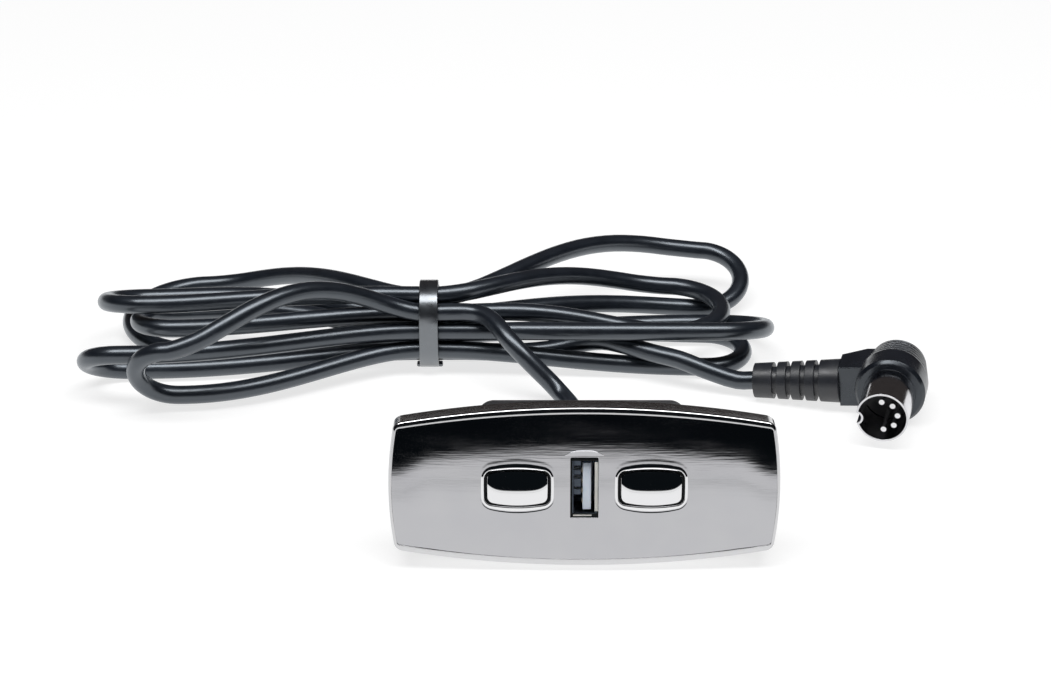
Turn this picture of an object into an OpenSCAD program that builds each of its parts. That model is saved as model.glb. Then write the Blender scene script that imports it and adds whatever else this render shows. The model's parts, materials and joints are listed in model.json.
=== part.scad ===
// Two-button furniture hand control with a charging socket, its cable in a tied hank and a round plug.
// The control leans back on its plate's foot and its housing's rear edge, as it lies on a table.
// +X is to the right of the face, +Y goes behind it and +Z is up. The origin is on the table,
// under the middle of the control without its cable.

/* [Faceplate] */
// Width of the faceplate at mid height
plate_w = 90; // [84:1:110]
// Height of the faceplate at its middle
plate_h = 38; // [36:1:46]
// How far the top and bottom edges arch out
plate_arch = 4; // [2:0.5:6]
// How far the two ends bow out
plate_bow = 1.4; // [0.8:0.2:2.4]
// Radius of the faceplate's corners
plate_corner = 2.6; // [2.4:0.2:4]
// Depth of the faceplate from rim to back
plate_d = 6; // [5.4:0.2:7]
// Width of the raised rim round the face
rim_w = 1.6; // [1.4:0.1:2]
// Radius of the rim's front edge
rim_edge = 1; // [0.7:0.1:1.1]
// Thickness of the faceplate's wall
plate_wall = 1.5; // [1.2:0.1:2]
// How far the middle of the face stands in front of the rim
face_crown = 0.5; // [0.3:0.1:1]
// How far the edge of the face lies behind the rim's front
face_step = 0.35; // [0.25:0.05:0.6]

/* [Buttons] */
// Width of a button
button_w = 14.5; // [12:0.1:17.5]
// Height of a button
button_h = 8.1; // [7:0.1:10]
// Distance between the buttons' middles
button_pitch = 30.6; // [28:0.2:34]
// How far a button travels
button_travel = 1.2; // [0.8:0.1:1.4]
// Gap round a button in its opening
button_gap = 0.4; // [0.3:0.05:0.6]
// How far a button's middle stands in front of its bezel
button_dome = 0.9; // [0.6:0.1:1.5]
// Radius of a button's curve from its top to its bottom
button_tall_r = 15; // [13:1:24]
// Width of the raised bezel beside a button
bezel_w = 0.9; // [0.6:0.1:1.2]
// Height of the raised bezel above and below a button
bezel_h = 1.5; // [1:0.1:2]
// How far the bezel stands in front of the face
bezel_raise = 0.8; // [0.5:0.1:1.2]
// Height of the scoop above a bezel
scoop_h = 1; // [0.6:0.1:1.4]
// Depth of the scoop above a bezel
scoop_d = 0.4; // [0.2:0.1:0.6]

/* [Charging socket] */
// Width of the socket's metal shell
usb_w = 5.7; // [4.8:0.1:6.8]
// Height of the socket's metal shell
usb_h = 13.1; // [11:0.1:15.8]
// Gap between the shell and the face on each side
slot_side = 0.35; // [0.2:0.05:0.6]
// Gap between the shell and the face above and below
slot_end = 0.55; // [0.2:0.05:1]
// Thickness of the socket's metal shell
usb_wall = 0.35; // [0.25:0.05:0.5]
// Thickness of the socket's tongue
tongue_t = 1.9; // [1.6:0.1:2.1]
// How far the hood above the socket reaches past its opening on each side
hood_side = 1.3; // [0.8:0.1:1.8]
// How far the hood rises above the socket's opening
hood_h = 2.2; // [1.6:0.1:2.6]

/* [Housing] */
// Width of the housing behind the faceplate
housing_w = 50; // [46:1:56]
// Height of the housing
housing_h = 26; // [24:0.5:28]
// Depth of the housing with its rear cover, behind the faceplate
housing_d = 25; // [23:0.5:34]
// Radius of the housing's corners
housing_corner = 4; // [3:0.5:6]
// Thickness of the housing's wall
housing_wall = 2; // [1.6:0.1:2.4]
// Thickness of the rear cover
cover_t = 2; // [1.6:0.1:3]

/* [Circuit board] */
// Depth from the faceplate's back to the board
board_y = 10; // [9:0.5:12]
// Thickness of the board
board_t = 1.6; // [1:0.2:2]
// Side of a push switch under a button
switch_w = 8.5; // [7:0.5:10]
// Depth of a push switch
switch_d = 6.2; // [5:0.2:6.6]

/* [Mounting posts] */
// Distance between the two threaded posts
post_pitch = 71; // [68:0.5:76]
// Radius of a post
post_r = 3.4; // [3.2:0.1:4]
// Outer radius of a post's brass insert
insert_r = 2.1; // [1.9:0.05:2.4]
// Radius of the thread's bore
thread_r = 1.25; // [1:0.05:1.5]

/* [Cable] */
// Diameter of the cable
cable_d = 4.8; // [4:0.1:4.8]
// Length of the grommet behind the rear cover
grommet_l = 7; // [5:0.5:9]
// Radius of the grommet's flange
grommet_r = 6; // [5.5:0.5:7]

/* [Hank] */
// Distance between the cable's passes in the tie, middle to middle
pass_pitch = 5.5; // [5.4:0.1:5.8]
// Width of the tie's strap
tie_w = 5; // [4:0.5:8]
// Thickness of the tie's strap
tie_t = 1; // [0.8:0.1:1.4]

/* [Plug] */
// Radius of the plug's round head at the shell
head_r = 9; // [8.5:0.5:10]
// Radius of the head at its rear
head_rear_r = 7.2; // [6.4:0.2:8]
// Length of the plug's round head
head_l = 18.5; // [17:0.5:21]
// Outer radius of the plug's metal shell
din_r = 6.6; // [6.5:0.05:6.7]
// How far the metal shell stands out of the head
din_l = 14; // [10:0.5:15]
// Thickness of the metal shell
din_wall = 0.5; // [0.4:0.1:0.7]
// Radius of a pin
pin_r = 0.72; // [0.7:0.02:0.75]
// Radius of the circle that the pins stand on
pin_circle_r = 3.75; // [3.7:0.05:3.8]
// Length of the strain relief
relief_l = 22.5; // [18:0.5:26]
// Radius of the strain relief where the cable enters
relief_r1 = 4.5; // [4:0.1:5]
// Radius of the strain relief at the head
relief_r2 = 5.7; // [5.2:0.1:6]
// Angle that the plug is turned to the left
plug_turn = 15; // [8:1:20]

/* [Hidden] */
$fn = 96;
// clearances: between fixed pieces, of a moving piece, and between pieces that only lie close
fit = 0.1;
run = 0.3;
near = 0.3;
// what a cutting solid runs past the surface that it cuts
over = 1;

// lean of the control: it rests on the plate's foot and on the housing's lower rear edge
foot_gap = (plate_h - housing_h) / 2;
lean = atan(foot_gap / housing_d);
mid_z = plate_h / 2;
back_y = plate_d + housing_d;
cover_y = back_y - cover_t;
board_front = plate_d + board_y;
board_back = board_front + board_t;
grommet_end = back_y + grommet_l;
grommet_tip_r = cable_d / 2 + 1;
grommet_neck_r = grommet_r - 1.6;
grommet_lip = 1.2;
grommet_flange = 1.4;
grommet_ring_w = 0.9;
grommet_ring_y = 2.6;
// how far the control's front and rear lie from the plate's foot, and the origin half way
front_most = rim_edge * (cos(lean) + sin(lean) - 1);
rear_most = grommet_end * cos(lean) + (mid_z + grommet_tip_r) * sin(lean);
origin_y = (front_most + rear_most) / 2;

// radii of the arcs that an outline of width w and height h has, from how far its sides bow out
function arc_r(chord, rise) = (chord * chord / 4 + rise * rise) / (2 * rise);
face_r = arc_r(plate_h - 2 * rim_w, face_crown + face_step);
face_long_r = arc_r(plate_w - 2 * rim_w, face_crown + face_step);
face_back = plate_wall - face_crown;
rim_bevel = 0.25;

// buttons, from the front: dome, edge, flange, stem, plunger
cap_front = -face_crown - bezel_raise - button_dome;
bezel_full_w = button_w + 2 * (button_gap + bezel_w);
bezel_full_h = button_h + 2 * (button_gap + bezel_h);
bezel_corner = 3.2;
button_corner = 1.2;
button_side_r = 40;
flange_grow = 1.2;
flange_t = 0.9;
flange_y = face_back + 1;
stem_end = 6.6;
stem_w = 4.4;
stem_t = 1.2;
plunger_w = 3;
plunger_in = 3;
switch_front = board_front - switch_d;

// socket
slot_w = usb_w + 2 * slot_side;
slot_h = usb_h + 2 * slot_end;
slot_corner = 0.8;
usb_front = 0.2;
usb_block_y = board_front - 6;
usb_corner = 0.6;
tongue_x = 0.6;
tongue_h = usb_h - 2 * usb_wall - 1.4;
tongue_in = 0.8;
contact_pitch = 2.4;
contact_w = 1;
contact_t = 0.2;
contact_in = 1.6;

// housing, its ears and screws
housing_front = plate_d - 1.6;
ear_r = 3.4;
ear_x = post_pitch / 2 - post_r - near - ear_r;
ear_screw_r = 1.1;
ear_screw_tip = face_back + 1.6;
insert_front = face_back + 1.8;
ear_boss_r = 2.6;
cover_screw_x = housing_w / 2 - housing_wall - 2.5;
cover_screw_r = 1.2;
cover_boss_r = 2.6;
screw_l = 7;
head_grow = 1.1;
board_w = housing_w - 2 * housing_wall - 2 * near;
board_h = housing_h - 2 * housing_wall - 2 * near;
ledge = 1.6;
hole_depth = 20;

// parts on the back of the board: places beside and above its middle, and sizes
capacitor_at = [-11, 5];
capacitor_r = 3.15;
capacitor_l = 7.5;
inductor_at = [11, 5];
inductor_r = 3.9;
inductor_core_r = 2.9;
inductor_l = 4.6;
inductor_rim = 0.9;
chip_at = [10, -5.5];
chip_size = [5, 4];
chip_t = 1.5;
chip_gap = 0.2;
lead_pitch = 1.27;
lead_w = 0.4;
lead_span = 6;

// cable inside the housing and its five leads
cable_in_y = board_back + 7;
lead_wire_r = 0.6;
lead_wire_circle = 1.4;

// hank: middle of the tie, height of the lowest pass, straight part beside the tie
tie_x = -39;
tie_y = 86.9;
pass_low = cable_d / 2 + 1.5;
neck = tie_w / 2 + 0.5;
free_neck = 5;
tie_r = pass_pitch * cos(30) + cable_d / 2 + 0.8;
tie_low = pass_low - cable_d / 2 - near;
tie_high = pass_low + 3 * pass_pitch + cable_d / 2 + near;
buckle_w = 7.8;
buckle_d = 5;
buckle_h = 1.9;

// Places of the passes in the tie, in the order in which the cable takes them.
// Each is [column, level]: columns front to back, levels up, the middle column half a step lower.
passes = [[-1, 2], [-1, 0], [0, 1], [0, 2], [0, 3], [1, 1], [1, 2], [1, 0], [-1, 1], [0, 0]];

// The half loops between two passes. Each holds its side, how far it reaches from the tie, and for
// the run out and the run back: where it meets the round end, and its bow on the way, both as
// [how far behind the tie's middle, how far up].
half_loops = [
    [-1, 74, [-35, 21], [4, 10], [-26, 4], [0, 0]],
    [1, 84, [-7, 2.7], [0, 0], [13, 2.7], [0, 1]],
    [-1, 78, [15, 8.6], [0, 2], [-5, 13], [-1, 1]],
    [1, 79, [1, 9], [0, 3], [32, 8.5], [0, 4]],
    [-1, 87, [-3, 19], [0, 1], [21, 10], [2, 1]],
    [1, 86, [29, 3.2], [0, 2], [51, 11], [4, 4]],
    [-1, 83, [44, 3.5], [0, 4], [2, 2.7], [1, -1]],
    [1, 90, [20, 2.7], [0, 0], [-9, 14], [0, 0]],
    [-1, 89, [-25, 15], [0, 0], [-9, 2.7], [0, 0]]
];
run_rings = 4;
end_rings = 4;

// plug: middle of its round head, and its pieces along the cable's side
plug_at = [81.1, 59, head_r];
head_front = 7.3;
head_rear = head_l - head_front;
head_bevel = 0.8;
// the cable's block: how far it stands out of the head, its height, and its front and rear face
block_l = 6;
block_h = 10.8;
block_front = 3.7;
block_rear = 4.5;
block_root = 8;
block_start = head_r - 1.5;
relief_start = block_start + block_l;
relief_end = relief_start + relief_l;
// the plug lies on its round head and on the end of its strain relief
plug_tilt = asin((head_r - fit) / norm([relief_end, relief_r1])) - atan(relief_r1 / relief_end);
groove_n = 4;
groove_pitch = 3.7;
groove_w = 1.3;
groove_in = 0.9;
groove_first = 5.6;
ridge_n = 5;
ridge_pitch = 1.9;
ridge_w = 0.8;
ridge_in = 0.5;
// how far the shell, the pins and the insulator's rear end sit in the head
din_in = 4;
din_neck = 0.2;
key_r = 1.4;
insulator_l = 6;
pin_recess = 1.2;

// Points of the free cable between the grommet and the hank, past its straight start
lead_points = [
    [0, 31, 8.4], [0, 37.5, 6.6], [0, 44, 4.8], [-0.5, 50.5, 3.4], [-1.5, 56.8, 2.7], [-4, 62.4, 3.2],
    [-7, 64.9, 5.6], [-10.5, 66.2, 8.8], [-14, 67.7, 12], [-17.5, 70.5, 14.8],
    [-20.2, 74.3, 16.6], [-22.8, 78.3, 17.5], [-25.8, 81.1, 17.7]
];
// Points of the free cable between the hank and the plug, before its straight end
tail_points = [
    [-21, 86.8, 3.7], [-13, 86.8, 3.8], [-5, 86.8, 4.8], [1, 86, 6.6], [7, 83.8, 8.4], [13, 80.6, 8.7],
    [20, 77.2, 8.1], [27, 74, 7.7], [34, 71.6, 5.8]
];

// ---- helpers ----

// stands the control on the table: its own frame has Y as depth behind the rim and Z up the face
module control() {
    translate([0, -origin_y, plate_d * sin(lean)]) rotate([-lean, 0, 0]) children();
}

// a point of the control's own frame in the part's frame
function on_control(p) = [
    p.x,
    p.y * cos(lean) + p.z * sin(lean) - origin_y,
    p.z * cos(lean) - p.y * sin(lean) + plate_d * sin(lean)
];

// extrudes an outline drawn as seen from the front, between two depths
module deep(from, to) {
    translate([0, to, 0]) rotate([90, 0, 0]) linear_extrude(to - from) children();
}

// a solid turned about an axis along the depth, its profile drawn as [radius, depth]
module turned(facets = 96) {
    rotate([-90, 0, 0]) rotate_extrude($fn = facets) children();
}

// a screw-head cone and shank along the depth, head at the rear
module screw(y, l, r) {
    turned() polygon([
        [0, y - l], [r, y - l], [r, y - head_grow], [r + head_grow, y], [0, y]
    ]);
}

module rounded(w, h, r) {
    square([w, h - 2 * r], center = true);
    square([w - 2 * r, h], center = true);
    for (x = [-1, 1], y = [-1, 1])
        translate([x * (w / 2 - r), y * (h / 2 - r)]) circle(r);
}

// middle of a circle of radius r that touches two larger ones from inside: the first has its middle
// on the vertical axis, the second on the horizontal axis
function corner_at(first, first_r, second, second_r, r) =
    let (
        d = norm(second - first),
        u = (second - first) / d,
        a = (pow(first_r - r, 2) - pow(second_r - r, 2) + d * d) / (2 * d),
        b = sqrt(pow(first_r - r, 2) - a * a)
    )
    first + a * u + b * [u.y, -u.x];

// ---- faceplate and buttons ----

// the faceplate's outline, seen from the front: two long arcs, two end arcs and four corners
long_r = arc_r(plate_w, plate_arch);
end_r = arc_r(plate_h - 2 * plate_arch, plate_bow);
long_c = [0, plate_h / 2 - long_r];
end_c = [plate_w / 2 - end_r, 0];
corner_c = corner_at(long_c, long_r, end_c, end_r, plate_corner);
// the corner's circle is a hair larger than one that touches both arcs, so that it crosses them
corner_r = plate_corner + 0.006;
// the wedge between the directions in which the corner meets the long arc and the end arc
to_long = (corner_c - long_c) / norm(corner_c - long_c);
to_end = (corner_c - end_c) / norm(corner_c - end_c);
corner_wedge = [corner_c, corner_c + plate_h * to_long, corner_c + plate_w * to_end];

module each_quarter() {
    for (x = [0, 1], z = [0, 1]) mirror([x, 0, 0]) mirror([0, 0, z]) children();
}

// a large board without its four corners
module cornerless() {
    difference() {
        square(3 * plate_w, center = true);
        for (x = [0, 1], y = [0, 1]) mirror([x, 0]) mirror([0, y]) polygon(corner_wedge);
    }
}

// the faceplate's outline drawn in all round by an inset
module plate_outline(inset) {
    intersection() {
        translate(long_c) circle(long_r - inset, $fn = 360);
        translate(-long_c) circle(long_r - inset, $fn = 360);
        translate(end_c) circle(end_r - inset, $fn = 360);
        translate(-end_c) circle(end_r - inset, $fn = 360);
        union() {
            cornerless();
            for (x = [0, 1], y = [0, 1]) mirror([x, 0]) mirror([0, y])
                translate(corner_c) circle(corner_r - inset);
        }
    }
}

// a disc about a point of the outline, as deep as the faceplate: its front edge is rounded, or it is
// drawn in by the rim's width and bevelled outwards at the front, for the well inside the rim
module outline_disc(c, r, facets, well) {
    translate([c.x, 0, c.y]) turned(facets) if (well) {
        polygon([
            [0, -over], [r - rim_w + rim_bevel + over, -over], [r - rim_w, rim_bevel],
            [r - rim_w, plate_d + over], [0, plate_d + over]
        ]);
    } else {
        square([r - rim_edge, plate_d]);
        translate([0, rim_edge]) square([r, plate_d - rim_edge]);
        translate([r - rim_edge, rim_edge]) circle(rim_edge, $fn = 32);
    }
}

// the faceplate's outside as a solid block, or the well inside its rim
module plate_block(well) {
    intersection() {
        outline_disc(long_c, long_r, 360, well);
        outline_disc(-long_c, long_r, 360, well);
        outline_disc(end_c, end_r, 360, well);
        outline_disc(-end_c, end_r, 360, well);
        union() {
            deep(-2 * over, plate_d + 2 * over) cornerless();
            each_quarter() outline_disc(corner_c, corner_r, 96, well);
        }
    }
}

// everything behind a surface that bulges to the front: its middle's depth, its radius from side
// to side and its radius from top to bottom
module behind(front, wide_r, tall_r) {
    translate([0, front + wide_r, 0]) rotate_extrude($fn = 480) intersection() {
        translate([wide_r - tall_r, 0]) circle(tall_r, $fn = 240);
        translate([wide_r - 12, -plate_h / 2]) square([24, plate_h]);
    }
}

// everything behind the crowned face, or behind a surface that lies deeper by a given wall
module crowned(wall) {
    behind(wall - face_crown, face_long_r - wall, face_r - wall);
}

// a button's outline with bowed sides, grown all round
module button_outline(grow) {
    w = button_w + 2 * grow;
    h = button_h + 2 * grow;
    intersection() {
        rounded(w, h, button_corner + grow);
        for (y = [0, 1]) mirror([0, y]) translate([0, h / 2 - button_side_r]) circle(button_side_r);
    }
}

module bezel_outline() {
    rounded(bezel_full_w, bezel_full_h, bezel_corner);
}

// the dish above a bezel: the cap of a circle that passes just outside the bezel's upper corners
module scoop_outline() {
    w = bezel_full_w + 2 * near;
    low = bezel_full_h / 2 - bezel_corner + 2 * near;
    high = bezel_full_h / 2 + scoop_h;
    r = arc_r(w, high - low);
    intersection() {
        translate([0, high - r]) circle(r);
        translate([-w / 2, low]) square([w, high]);
    }
}

// the raised arch above the socket's opening
module hood_outline() {
    w = slot_w + 2 * hood_side;
    intersection() {
        translate([0, slot_h / 2 + hood_h - w / 2]) rounded(w, w, 0.45 * w);
        translate([-w, slot_h / 2 - slot_corner]) square([2 * w, w]);
    }
}

module slot_outline() {
    rounded(slot_w, slot_h, slot_corner);
}

module at_buttons() {
    for (x = [-1, 1]) translate([x * button_pitch / 2, 0]) children();
}

module faceplate_solid() {
    difference() {
        union() {
            // rim
            difference() {
                plate_block(false);
                plate_block(true);
            }
            // face, dished above the bezels
            difference() {
                intersection() {
                    deep(-2 * face_crown, plate_d - rim_edge) plate_outline(rim_w * 0.7);
                    crowned(0);
                }
                crowned(plate_wall);
                difference() {
                    deep(-2 * face_crown, plate_wall) at_buttons() scoop_outline();
                    crowned(scoop_d);
                }
            }
            // bezels and the socket's hood
            difference() {
                intersection() {
                    deep(-face_crown - 3, face_back) {
                        at_buttons() bezel_outline();
                        hood_outline();
                    }
                    crowned(-bezel_raise);
                }
                crowned(plate_wall / 2);
            }
            // posts for the threaded inserts and bosses for the ears' screws
            difference() {
                union() {
                    for (x = [-1, 1]) translate([x * post_pitch / 2, 0, 0])
                        deep(-face_crown, plate_d) circle(post_r);
                    for (x = [-1, 1]) translate([x * ear_x, 0, 0])
                        deep(-face_crown, housing_front) circle(ear_boss_r);
                }
                difference() {
                    translate([0, -face_long_r, 0]) cube(2 * face_long_r, center = true);
                    crowned(plate_wall / 2);
                }
            }
        }
        deep(-face_crown - 4, plate_d) {
            at_buttons() button_outline(button_gap);
            slot_outline();
        }
        for (x = [-1, 1]) {
            translate([x * post_pitch / 2, 0, 0])
                deep(insert_front - near, plate_d + over) circle(insert_r + fit);
            translate([x * ear_x, 0, 0])
                deep(ear_screw_tip - near, plate_d) circle(ear_screw_r + fit);
        }
    }
}

module faceplate() {
    color([0.72, 0.72, 0.75]) control() translate([0, 0, mid_z]) faceplate_solid();
}

// a domed cap with a retaining flange behind the face and a stem to its plunger
module button(x) {
    wide_r = arc_r(button_w, button_dome);
    color([0.8, 0.8, 0.83]) control() translate([x, 0, mid_z]) {
        intersection() {
            deep(cap_front - over, flange_y + fit) button_outline(0);
            behind(cap_front, wide_r, button_tall_r);
        }
        deep(flange_y, flange_y + flange_t) button_outline(flange_grow);
        deep(flange_y, stem_end) {
            square([stem_t, stem_w], center = true);
            square([stem_w, stem_t], center = true);
        }
    }
}

module left_button() {
    button(-button_pitch / 2);
}

module right_button() {
    button(button_pitch / 2);
}

module plunger(x) {
    color([0.85, 0.84, 0.8]) control() translate([x, 0, mid_z])
        deep(stem_end, switch_front + plunger_in) square(plunger_w, center = true);
}

module left_plunger() {
    plunger(-button_pitch / 2);
}

module right_plunger() {
    plunger(button_pitch / 2);
}

module push_switch(x) {
    color([0.12, 0.12, 0.13]) control() translate([x, 0, mid_z]) difference() {
        deep(switch_front, board_front) rounded(switch_w, switch_w, 0.6);
        deep(switch_front - over, switch_front + plunger_in + button_travel + run)
            square(plunger_w + 2 * run, center = true);
    }
}

module left_push_switch() {
    push_switch(-button_pitch / 2);
}

module right_push_switch() {
    push_switch(button_pitch / 2);
}

// ---- housing ----

module housing() {
    inner_r = housing_corner - housing_wall;
    color([0.05, 0.05, 0.055]) control() translate([0, 0, mid_z]) difference() {
        union() {
            deep(housing_front, cover_y) rounded(housing_w, housing_h, housing_corner);
            deep(housing_front, plate_d) for (x = [-1, 1])
                translate([x * ear_x, 0]) {
                    circle(ear_r);
                    translate([-x * ear_r, 0]) square([2 * ear_r, 2 * ear_r], center = true);
                }
        }
        // room for the switches in front of the board's ledge, and for the board behind it
        deep(housing_front - over, board_front)
            rounded(board_w - 2 * ledge, board_h - 2 * ledge, inner_r);
        difference() {
            deep(board_front, cover_y + over)
                rounded(housing_w - 2 * housing_wall, housing_h - 2 * housing_wall, inner_r);
            for (x = [-1, 1]) deep(board_back + near, cover_y) translate([x * cover_screw_x, 0]) {
                circle(cover_boss_r);
                translate([x * cover_boss_r, 0]) square(2 * cover_boss_r, center = true);
            }
        }
        for (x = [-1, 1]) {
            translate([x * cover_screw_x, 0, 0])
                deep(back_y - screw_l - 1, back_y) circle(cover_screw_r + fit / 2);
            translate([x * ear_x, 0, 0]) screw_hole(plate_d, ear_screw_r);
        }
    }
}

// a through hole with a countersink at its rear end y
module screw_hole(y, r) {
    turned() polygon([
        [0, y - hole_depth], [r + fit, y - hole_depth], [r + fit, y - head_grow], [r + fit + head_grow, y],
        [r + fit + head_grow, y + over], [0, y + over]
    ]);
}

module rear_cover() {
    color([0.06, 0.06, 0.065]) control() translate([0, 0, mid_z]) difference() {
        deep(cover_y, back_y) rounded(housing_w, housing_h, housing_corner);
        deep(cover_y - over, back_y + over) circle(grommet_neck_r);
        for (x = [-1, 1]) translate([x * cover_screw_x, 0, 0]) screw_hole(back_y, cover_screw_r);
    }
}

module cover_screws() {
    color([0.6, 0.6, 0.62]) control() translate([0, 0, mid_z])
        for (x = [-1, 1]) translate([x * cover_screw_x, 0, 0]) screw(back_y, screw_l, cover_screw_r);
}

module ear_screws() {
    color([0.6, 0.6, 0.62]) control() translate([0, 0, mid_z])
        for (x = [-1, 1]) translate([x * ear_x, 0, 0])
            screw(plate_d, plate_d - ear_screw_tip, ear_screw_r);
}

module threaded_insert(x) {
    color([0.75, 0.6, 0.3]) control() translate([x, 0, mid_z])
        deep(insert_front, plate_d) difference() {
            circle(insert_r);
            circle(thread_r);
        }
}

module left_insert() {
    threaded_insert(-post_pitch / 2);
}

module right_insert() {
    threaded_insert(post_pitch / 2);
}

// ---- circuit board and socket ----

module circuit_board() {
    color([0.1, 0.3, 0.16]) control() translate([0, 0, mid_z])
        deep(board_front, board_back) rounded(board_w, board_h, housing_corner - housing_wall);
}

module socket_shell() {
    color([0.75, 0.75, 0.76]) control() translate([0, 0, mid_z]) deep(usb_front, board_front) difference() {
        rounded(usb_w, usb_h, usb_corner);
        rounded(usb_w - 2 * usb_wall, usb_h - 2 * usb_wall, usb_corner - usb_wall);
    }
}

module socket_insulator() {
    color([0.86, 0.84, 0.78]) control() translate([0, 0, mid_z]) {
        deep(usb_block_y, board_front)
            square([usb_w - 2 * usb_wall - 2 * fit, usb_h - 2 * usb_wall - 2 * fit], center = true);
        deep(usb_front + tongue_in, usb_block_y) translate([tongue_x, 0])
            square([tongue_t, tongue_h], center = true);
    }
}

module socket_contacts() {
    x = tongue_x - tongue_t / 2 - contact_t / 2;
    color([0.85, 0.7, 0.35]) control() translate([0, 0, mid_z]) deep(usb_front + contact_in, usb_block_y)
        for (i = [-1.5, -0.5, 0.5, 1.5]) translate([x, i * contact_pitch])
            square([contact_t, contact_w], center = true);
}

// stands a part on the back of the board, its axis along the depth
module on_board(place) {
    control() translate([place.x, board_back, mid_z + place.y]) children();
}

module capacitor() {
    color([0.2, 0.2, 0.3]) on_board(capacitor_at) deep(0, capacitor_l) circle(capacitor_r);
}

module inductor() {
    color([0.18, 0.17, 0.17]) on_board(inductor_at) turned() {
        square([inductor_core_r, inductor_l]);
        for (y = [0, inductor_l - inductor_rim]) translate([0, y]) square([inductor_r, inductor_rim]);
    }
}

module converter_chip() {
    color([0.08, 0.08, 0.08]) on_board(chip_at) {
        deep(chip_gap, chip_gap + chip_t) square(chip_size, center = true);
        for (i = [-1.5, -0.5, 0.5, 1.5]) translate([i * lead_pitch, 0, 0])
            deep(0, chip_gap + lead_w) square([lead_w, lead_span], center = true);
    }
}

// ---- cable ----

// the five wires between the board and the end of the cable's jacket
module cable_wires() {
    color([0.7, 0.1, 0.1]) control() translate([0, 0, mid_z])
        for (i = [0:4]) rotate([0, i * 72, 0]) translate([lead_wire_circle, 0, 0])
            deep(board_back, cable_in_y) circle(lead_wire_r, $fn = 24);
}

// a rubber sleeve in the rear cover, with a flange on both sides and a ribbed nose
module cable_grommet() {
    bore = cable_d / 2 + near / 2;
    color([0.04, 0.04, 0.04]) control() translate([0, 0, mid_z]) turned() difference() {
        union() {
            translate([0, cover_y - grommet_lip]) square([grommet_r, grommet_lip - near / 2]);
            translate([0, cover_y - over]) square([grommet_neck_r - near / 2, cover_t + 2 * over]);
            translate([0, back_y]) square([grommet_r, grommet_flange]);
            polygon([
                [0, back_y + over], [grommet_r - grommet_lip, back_y + over],
                [grommet_tip_r, grommet_end], [0, grommet_end]
            ]);
        }
        translate([0, cover_y - grommet_lip - over])
            square([bore, grommet_lip + cover_t + grommet_l + 2 * over]);
        for (i = [0, 1]) translate([grommet_tip_r + fit, back_y + grommet_ring_y * (1 + i * 0.8)])
            square([grommet_r, grommet_ring_w]);
    }
}

// tangent of a path at one of its points
function along(path, i) =
    let (
        a = path[max(i - 1, 0)],
        b = path[min(i + 1, len(path) - 1)]
    )
    (b - a) / norm(b - a);

// a vector turned square to a direction with the least twist
function squared(v, t) =
    let (w = v - (v * t) * t)
    w / norm(w);

// one unbroken tube of a given radius along a path
module tube(path, r, sides) {
    n = len(path);
    start = squared([0.1, 0.2, 1], along(path, 0));
    across = [for (i = 0, v = start; i < n; i = i + 1, v = squared(v, along(path, min(i, n - 1)))) v];
    points = [
        for (i = [0:n - 1], k = [0:sides - 1])
            let (a = k * 360 / sides)
            path[i] + r * (cos(a) * across[i] + sin(a) * cross(along(path, i), across[i]))
    ];
    walls = [
        for (i = [0:n - 2], k = [0:sides - 1])
            let (
                p = i * sides + k,
                q = i * sides + (k + 1) % sides
            )
            each [[p, p + sides, q], [q, p + sides, q + sides]]
    ];
    first = [for (k = [1:sides - 2]) [0, k, k + 1]];
    last = [for (k = [1:sides - 2]) [0, k + 1, k] + (n - 1) * sides * [1, 1, 1]];
    polyhedron(points = points, faces = concat(walls, first, last));
}

// place of a pass through the tie, as [how far behind the tie's middle, how far up]
function pass_at(i) =
    let (p = passes[i])
    [p[0] * pass_pitch * cos(30), pass_low + pass_pitch * (p[1] + abs(p[0]) / 2)];

// a point of the hank from its distance beside the tie and its place behind it
function hank_point(beside, place) = [tie_x + beside, tie_y + place[0], place[1]];

// share of the way sideways that a run has gone at share u of its length: level at both ends
function spread(u) = u * u * (4.5 - 5 * u + 1.5 * u * u);

// the run between a pass and a loop's round end, at share u of its length
function run_point(side, l, from, to, bow, u) =
    hank_point(side * (neck + l * u), from + (to - from) * spread(u) + bow * pow(sin(180 * u), 1.5));

// half loop i of the hank: out along one run, round its end and back along the other
function half_loop(i, steps, turns) =
    let (
        h = half_loops[i],
        side = h[0],
        r = norm(h[2] - h[4]) / 2,
        l = h[1] - r - neck,
        middle = (h[2] + h[4]) / 2
    )
    concat(
        [for (k = [0:steps - 1]) run_point(side, l, pass_at(i), h[2], h[3], k / steps)],
        [for (k = [0:turns])
            let (a = 180 * k / turns)
            hank_point(side * (neck + l + r * sin(a)), middle + (h[2] - middle) * cos(a))],
        [for (k = [steps - 1:-1:0]) run_point(side, l, pass_at(i + 1), h[4], h[5], k / steps)]
    );

// the whole hank, with a straight end beside the tie where each free stretch meets it
function hank_path(steps, turns) = concat(
    [hank_point(free_neck, pass_at(0))],
    [for (i = [0:len(half_loops) - 1]) each half_loop(i, steps, turns)],
    [hank_point(free_neck, pass_at(len(passes) - 1))]
);

lead_start = on_control([0, cable_in_y, mid_z]);
lead_out = on_control([0, grommet_end + cable_d, mid_z]);
lead_path = concat(
    [lead_start, lead_out], lead_points,
    [hank_point(free_neck + cable_d, pass_at(0)), hank_point(free_neck, pass_at(0))]
);
plug_side = [-cos(plug_tilt) * cos(plug_turn), cos(plug_tilt) * sin(plug_turn), -sin(plug_tilt)];
tail_path = concat(
    [hank_point(free_neck, pass_at(len(passes) - 1)),
    hank_point(free_neck + cable_d, pass_at(len(passes) - 1))],
    tail_points,
    [plug_at + (relief_end + cable_d) * plug_side, plug_at + relief_end * plug_side]
);

module cable_lead() {
    color([0.04, 0.04, 0.045]) tube(lead_path, cable_d / 2, 8);
}

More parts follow.
